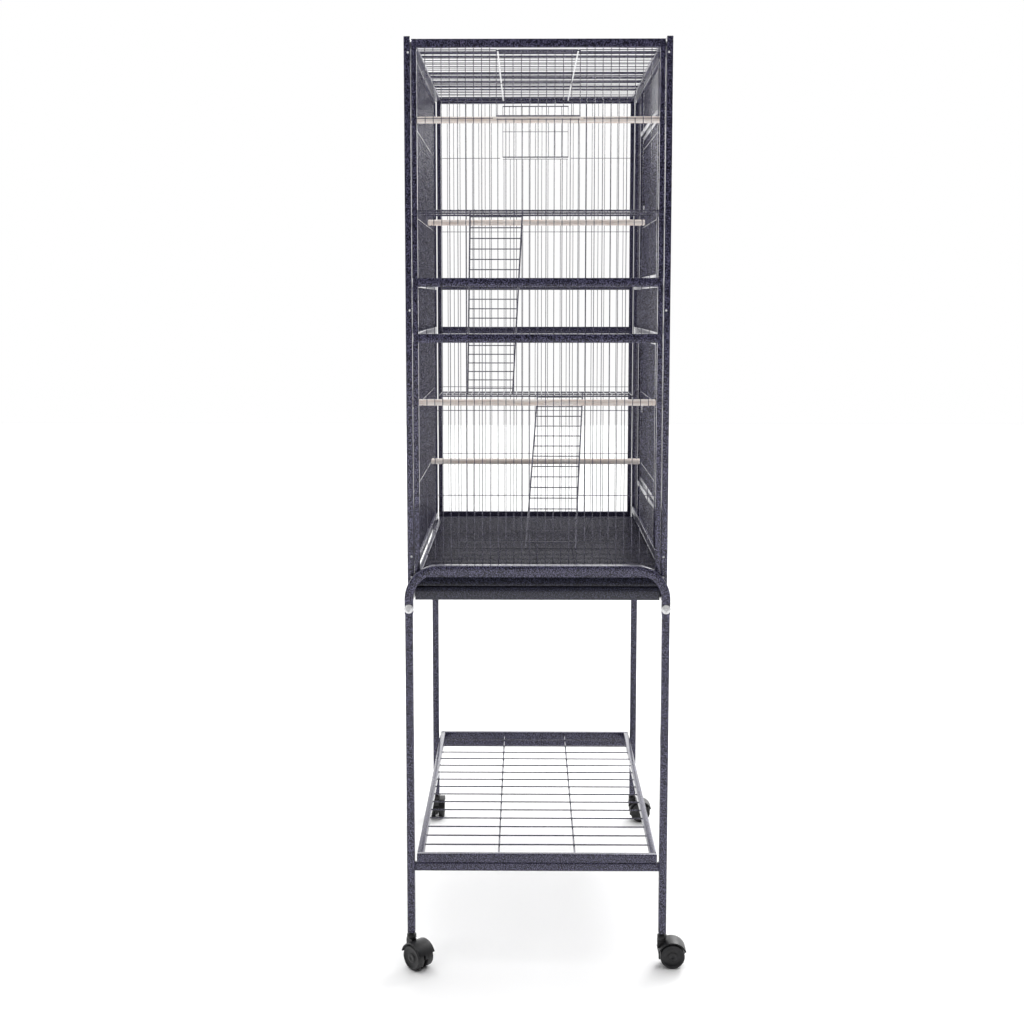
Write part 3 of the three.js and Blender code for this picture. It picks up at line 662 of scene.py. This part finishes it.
def closed_side():
    """Welded frame of two stiles and five rails, with three panes of wires."""
    low, high = limits("closed_side_frame")
    y = high[1] - SIDE_STILE
    x = (low[0], high[0])
    stiles = [(x, (s * y, s * high[1]), (low[2], high[2])) for s in (-1, 1)]
    heights = [(low[2], low[2] + 3 * MM), *END_RAILS[:3], (END_RAILS[3, 0], high[2])]
    rails = [(x, (-y, y), tuple(z)) for z in heights]
    piece("closed_side_rails", [bars(stiles + rails)], "hammered_frame", ["closed_side_frame"])
    for name in ("lower", "middle", "upper"):
        piece(f"closed_side_{name}_wires", pane(f"closed_side_{name}_grille"), "coated_wire",
              [f"closed_side_{name}_grille"])


def door_side():
    """Welded frame with a tray slot, two doorways between jambs, and seven panes of wires."""
    low, high = limits("door_side_frame")
    face = limits("closed_side_frame")
    x = (low[0], 2 * MIDDLE - face[0][0])
    y = high[1] - SIDE_STILE
    under, over = limits("door_side_under_door_grille"), limits("door_side_over_door_grille")
    lower, upper = limits("lower_door"), limits("upper_door")
    stiles = [(x, (s * y, s * high[1]), (low[2], high[2])) for s in (-1, 1)]
    heights = [(low[2], low[2] + 2 * MM), (800 * MM, 816 * MM), *END_RAILS[1:3], (END_RAILS[3, 0], high[2])]
    rails = [(x, (-y, y), tuple(z)) for z in heights]
    jambs = [(x, (s * JAMB[0], s * JAMB[1]), z) for s in (-1, 1)
             for z in ((816 * MM, END_RAILS[1, 0]), (END_RAILS[2, 1], END_RAILS[3, 0]))]
    sills = [(x, (-JAMB[0], JAMB[0]), (under[1][2], lower[0][2] - 2 * MM)),
             (x, (-JAMB[0], JAMB[0]), (upper[1][2] + 2 * MM, over[0][2]))]
    keepers = []
    for door in (lower, upper):
        z = (door[0][2] + door[1][2]) / 2
        reach = (x[1] - 1 * MM, high[0])
        keepers += [(reach, (JAMB[0] + 2 * MM, JAMB[0] + 8 * MM), (z + a * MM, z + b * MM))
                    for a, b in ((-7, -3.6), (3.6, 7))]
        keepers.append(((high[0] - 2 * MM, high[0]), (JAMB[0] + 2 * MM, JAMB[0] + 8 * MM),
                        (z - 7 * MM, z + 7 * MM)))
    piece("door_side_rails", [bars(stiles + rails + jambs + sills + keepers)], "hammered_frame",
          ["door_side_frame"])
    for name in ("lower_front", "lower_back", "upper_front", "upper_back", "middle",
                 "under_door", "over_door"):
        piece(f"door_side_{name}_wires", pane(f"door_side_{name}_grille"), "coated_wire",
              [f"door_side_{name}_grille"])


def large_door(name):
    """Door of flat bar with close wires, hinge leaves and knuckles on the front edge, and a backing
    plate with two lugs for the bolt. The hinges have no leaf on the jamb and cut into it."""
    node = f"{name}_door"
    low, high = limits(node)
    x = (low[0], low[0] + 6 * MM)
    rim = 9 * MM
    (y0, z0), (y1, z1) = (low[1], low[2]), (high[1], high[2])
    z = (z0 + z1) / 2
    bolt_x = limits(f"{name}_door_bolt")[0][0] + BOLT_R
    frame_bars = [(x, (y0, y1), (z0, z0 + rim)), (x, (y0, y1), (z1 - rim, z1)),
                  (x, (y0, y0 + rim), (z0 + rim, z1 - rim)), (x, (y1 - rim, y1), (z0 + rim, z1 - rim))]
    plate = [((x[0] + 1 * MM, x[1]), (162 * MM, 205 * MM), (z - 8 * MM, z + 8 * MM))]
    lugs = []
    for y in ((163, 168), (198, 203)):
        span = (y[0] * MM, y[1] * MM)
        lugs += [((x[1] - 1 * MM, high[0]), span, (z + a * MM, z + b * MM))
                 for a, b in ((-7, -3.5), (3.5, 7))]
        lugs.append(((bolt_x + 3.4 * MM, high[0]), span, (z - 7 * MM, z + 7 * MM)))
    at = np.linspace(y0 + rim, y1 - rim, 27)[1:-1]
    depth = low[0] + 3 * MM
    uprights = wires([(depth, v, z0 + 5 * MM) for v in at], [(depth, v, z1 - 5 * MM) for v in at])
    level = CROSSINGS[(CROSSINGS > z0) & (CROSSINGS < z1)]
    across = wires([(depth - 2 * MM, y0 + 5 * MM, v) for v in level],
                   [(depth - 2 * MM, y1 - 5 * MM, v) for v in level])
    piece(f"{name}_door_wires", [bars(frame_bars + plate + lugs), uprights, across], "hammered_frame",
          [node], node)
    heights = [z + t * (z1 - z0) for t in (-0.36, 0.36)]
    knuckles = [turned(np.array([(0, 1.6), (0.4, 2.2), (1, 2.3), (9, 2.3), (9.6, 2.2), (10, 1.6)]) * MM,
                       (x[1] + 2 * MM, y0 - 2 * MM, h + d * MM), (0, 0, 1), 12)
                for h in heights for d in (-16, -5, 6)]
    leaves = bars([((x[1] - 0.5 * MM, x[1] + 1 * MM), (y0 - 1 * MM, y0 + 8 * MM),
                    (h - 16 * MM, h + 16 * MM)) for h in heights], 0.4 * MM)
    piece(f"{name}_door_hinges", [*knuckles, leaves], "bright_zinc", (), node)


def door_bolt(name):
    """Sliding bolt: a turned bar with a chamfered nose and a waisted knob."""
    node = f"{name}_door_bolt"
    low, high = limits(node)
    z = (low[2] + high[2]) / 2
    x = low[0] + BOLT_R
    length = high[1] - low[1]
    bar = turned([(0, 2.2 * MM), (0.7 * MM, BOLT_R), (length - 2 * MM, BOLT_R), (length, 1.7 * MM)],
                 (x, low[1], z), (0, 1, 0), 20)
    profile = [(0, 2.2), (6, 2.2), (8, 2.4), (9.5, 3.3), (12.6, 3.4), (14, 2.9), (14.7, 1.8), (15, 0.6)]
    knob = turned(np.array(profile) * MM, (x, KNOB_Y, z), (1, 0, 0), 20)
    piece(f"{name}_slide_bolt", [bar, knob], "bright_zinc", [node], node)


def roof_panel():
    """Roof frame of flat bar with close cross wires over two long stiffening wires."""
    low, high = limits("roof_panel")
    (x0, y0, z0), (x1, y1, z1) = low, high
    bar = 12 * MM
    rim = bars([((x0, x1), (y0, y0 + bar), (z0, z1)), ((x0, x1), (y1 - bar, y1), (z0, z1)),
                ((x0, x0 + bar), (y0 + bar, y1 - bar), (z0, z1)),
                ((x1 - bar, x1), (y0 + bar, y1 - bar), (z0, z1))])
    y = np.linspace(y0 + bar, y1 - bar, 49)[1:-1]
    long_x = (MIDDLE - 78 * MM, MIDDLE + 78 * MM)
    # Drawn uneven and in two thicknesses on purpose, so that the roof reads as streaks from below.
    i = np.arange(len(y))
    z = z0 + 4.7 * MM + 0.9 * MM * np.sin(2.4 * i)
    lean = 2.2 * MM * np.sin(3.1 * i + 0.4)
    thick = np.sin(1.3 * i * i) > 0.35
    starts = np.stack([np.full(len(y), x0 + 8 * MM), y - lean, z], -1)
    ends = np.stack([np.full(len(y), x1 - 8 * MM), y + lean, z], -1)
    across = [wires(starts[pick], ends[pick], radius)
              for pick, radius in ((~thick, 0.6 * MM), (thick, 1.7 * MM))]
    z = z0 + 1.9 * MM
    along = wires([(x, y0 + 6 * MM, z) for x in long_x], [(x, y1 - 6 * MM, z) for x in long_x], 1.5 * MM, 12)
    piece("roof_rails", [rim], "hammered_frame", ["roof_panel"])
    piece("roof_wires", across, "coated_wire")
    piece("roof_long_wires", [along], "bright_zinc")


def panel_screws():
    """Small domed screw heads on the end faces of the side frames' stiles."""
    low, high = limits("closed_side_frame")
    heads = []
    for x in (low[0] + 8 * MM, 2 * MIDDLE - low[0] - 8 * MM):
        for s in (-1, 1):
            for z in (786, 827, 1306, 1790):
                heads.append(cross_head((x, s * high[1], z * MM), (0, s, 0), 2.1 * MM, 1.1 * MM, 12))
    piece("panel_screws", heads, "bright_zinc")


# Inside the cage.

def platform(name):
    """Wire ledge: short close wires over two edge wires and a middle wire."""
    node = f"{name}_platform"
    (x0, y0, _), (x1, y1, z1) = limits(node)
    at = np.linspace(x0 + 2 * MM, x1 - 2 * MM, 31)
    z = z1 - 1.2 * MM
    short = wires([(x, y0 + 0.6 * MM, z) for x in at], [(x, y1 - 0.6 * MM, z) for x in at])
    lines = [y0 + 2 * MM, (y0 + y1) / 2, y1 - 2 * MM]
    long = wires([(x0, y, z - 1.8 * MM) for y in lines], [(x1, y, z - 1.8 * MM) for y in lines], 1.9 * MM)
    piece(f"{name}_platform_wires", [short, long], "coated_wire", [node])


def ladder(name):
    """Two straight side rails joined by rungs RUNG_PITCH apart."""
    node = f"{name}_ladder"
    top, foot = (np.array(p) * MM + [MIDDLE, 0, 0] for p in LADDERS[name])
    half = np.array([53 * MM, 0, 0])
    rails = wires([top - half, top + half], [foot - half, foot + half], 1.8 * MM, 12)
    count = int(np.linalg.norm(top - foot) / RUNG_PITCH)
    t = (np.arange(count) + 0.5)[:, None] / count
    line = top + t * (foot - top) + [0, 0, 1.6 * MM]
    rungs = wires(line - half, line + half, 1.2 * MM)
    piece(f"{name}_ladder_wires", [rails, rungs], "coated_wire", [node], node)


def perch(number):
    """Dowel with rounded ends and a turned groove near each that takes a panel wire."""
    node = f"perch_{number}"
    low, high = limits(node)
    length = high[0] - low[0]
    r = 6.5 * MM
    end = np.array([(0, 0.62), (0.4, 0.82), (1.3, 0.95), (2.6, 1), (6, 1), (6.6, 0.86), (8.4, 0.86), (9, 1)])
    end = end * [MM, r]
    profile = np.concatenate([end, ([length, 0] - end * [1, -1])[::-1]])
    centre = (low[0], (low[1] + high[1]) / 2, (low[2] + high[2]) / 2)
    piece(f"{node}_dowel", [turned(profile, centre, (1, 0, 0))], "perch_wood", [node])


for end in ("front", "back"):
    bow(end)
    leg_frame(end)
    for side in ("left", "right"):
        bow_bolt(end, side)
        castor(f"{end}_{side}")
    end_panel(end)
storage_shelf()
base_sheets()
seed_tray()
floor_grate()
closed_side()
door_side()
for name in ("lower", "upper"):
    large_door(name)
    door_bolt(name)
roof_panel()
panel_screws()
for name in ("high", "low"):
    platform(name)
    ladder(name)
for number in (1, 2, 3, 4):
    perch(number)


# Floor, light and camera.

def floor_sheet():
    """Flat square floor, 24 m wide, just under the wheels."""
    mesh = bpy.data.meshes.new("studio_floor")
    mesh.from_pydata([(-12, -12, -0.0005), (12, -12, -0.0005), (12, 12, -0.0005), (-12, 12, -0.0005)],
                     [], [(0, 1, 2, 3)])
    mesh.materials.append(studio_floor())
    made = bpy.data.objects.new("studio_floor", mesh)
    bpy.context.scene.collection.objects.link(made)


def soft_light(name, where, towards, size, power):
    """Square area light at where, facing towards."""
    light = bpy.data.lights.new(name, "AREA")
    light.size = size
    light.energy = power
    made = bpy.data.objects.new(name, light)
    made.matrix_world = (Matrix.Translation(where)
                         @ (Vector(towards) - Vector(where)).to_track_quat("-Z", "Y").to_matrix().to_4x4())
    bpy.context.scene.collection.objects.link(made)


def camera():
    """Camera in front of the end panel, slightly to the left, looking a little down."""
    yaw, pitch = -0.0098, -0.1056
    ahead = Vector((math.sin(yaw) * math.cos(pitch), math.cos(yaw) * math.cos(pitch), math.sin(pitch)))
    lens = bpy.data.cameras.new("camera")
    lens.lens = 49.8
    lens.sensor_width = 36
    lens.shift_y = -0.0596
    made = bpy.data.objects.new("camera", lens)
    right = ahead.cross(Vector((0, 0, 1))).normalized()
    up = right.cross(ahead)
    made.matrix_world = (Matrix.Translation((-0.0364, -3.1199, 1.3244))
                         @ Matrix((right, up, -ahead)).transposed().to_4x4())
    bpy.context.scene.collection.objects.link(made)
    bpy.context.scene.camera = made


def white_studio():
    """World that looks pure white behind the object. Its light is strong from the back wall
    (+Y) and weak from the front."""
    world = bpy.data.worlds.new("white_studio")
    world.use_nodes = True
    tree = world.node_tree
    back = tree.nodes["Background"]
    back.inputs["Color"].default_value = (1, 1, 1, 1)
    place = tree.nodes.new("ShaderNodeTexCoord")
    parts = tree.nodes.new("ShaderNodeSeparateXYZ")
    wall = tree.nodes.new("ShaderNodeMapRange")
    seen = tree.nodes.new("ShaderNodeLightPath")
    level = tree.nodes.new("ShaderNodeMix")
    for key, value in (("From Min", -0.2), ("From Max", 0.9), ("To Min", 0.07), ("To Max", 1.8)):
        wall.inputs[key].default_value = value
    level.inputs["B"].default_value = 1.0
    tree.links.new(place.outputs["Generated"], parts.inputs["Vector"])
    tree.links.new(parts.outputs["Y"], wall.inputs["Value"])
    tree.links.new(seen.outputs["Is Camera Ray"], level.inputs["Factor"])
    tree.links.new(wall.outputs["Result"], level.inputs["A"])
    tree.links.new(level.outputs["Result"], back.inputs["Strength"])
    bpy.context.scene.world = world
    bpy.context.scene.view_settings.view_transform = "Standard"


def overhead_light():
    """Broad sun above, a little behind and to the right, as wide as a ceiling of lamps."""
    light = bpy.data.lights.new("overhead_light", "SUN")
    light.energy = 2.3
    light.angle = math.radians(70)
    made = bpy.data.objects.new("overhead_light", light)
    made.matrix_world = Vector((-0.12, -0.12, -1)).to_track_quat("-Z", "Y").to_matrix().to_4x4()
    bpy.context.scene.collection.objects.link(made)


white_studio()
overhead_light()
floor_sheet()
soft_light("key_light", (-2.4, -2.4, 3.0), (0, 0, 1.1), 1.2, 16)
soft_light("rim_light", (1.8, 2.8, 2.6), (0, 0, 1.2), 1.4, 60)
camera()
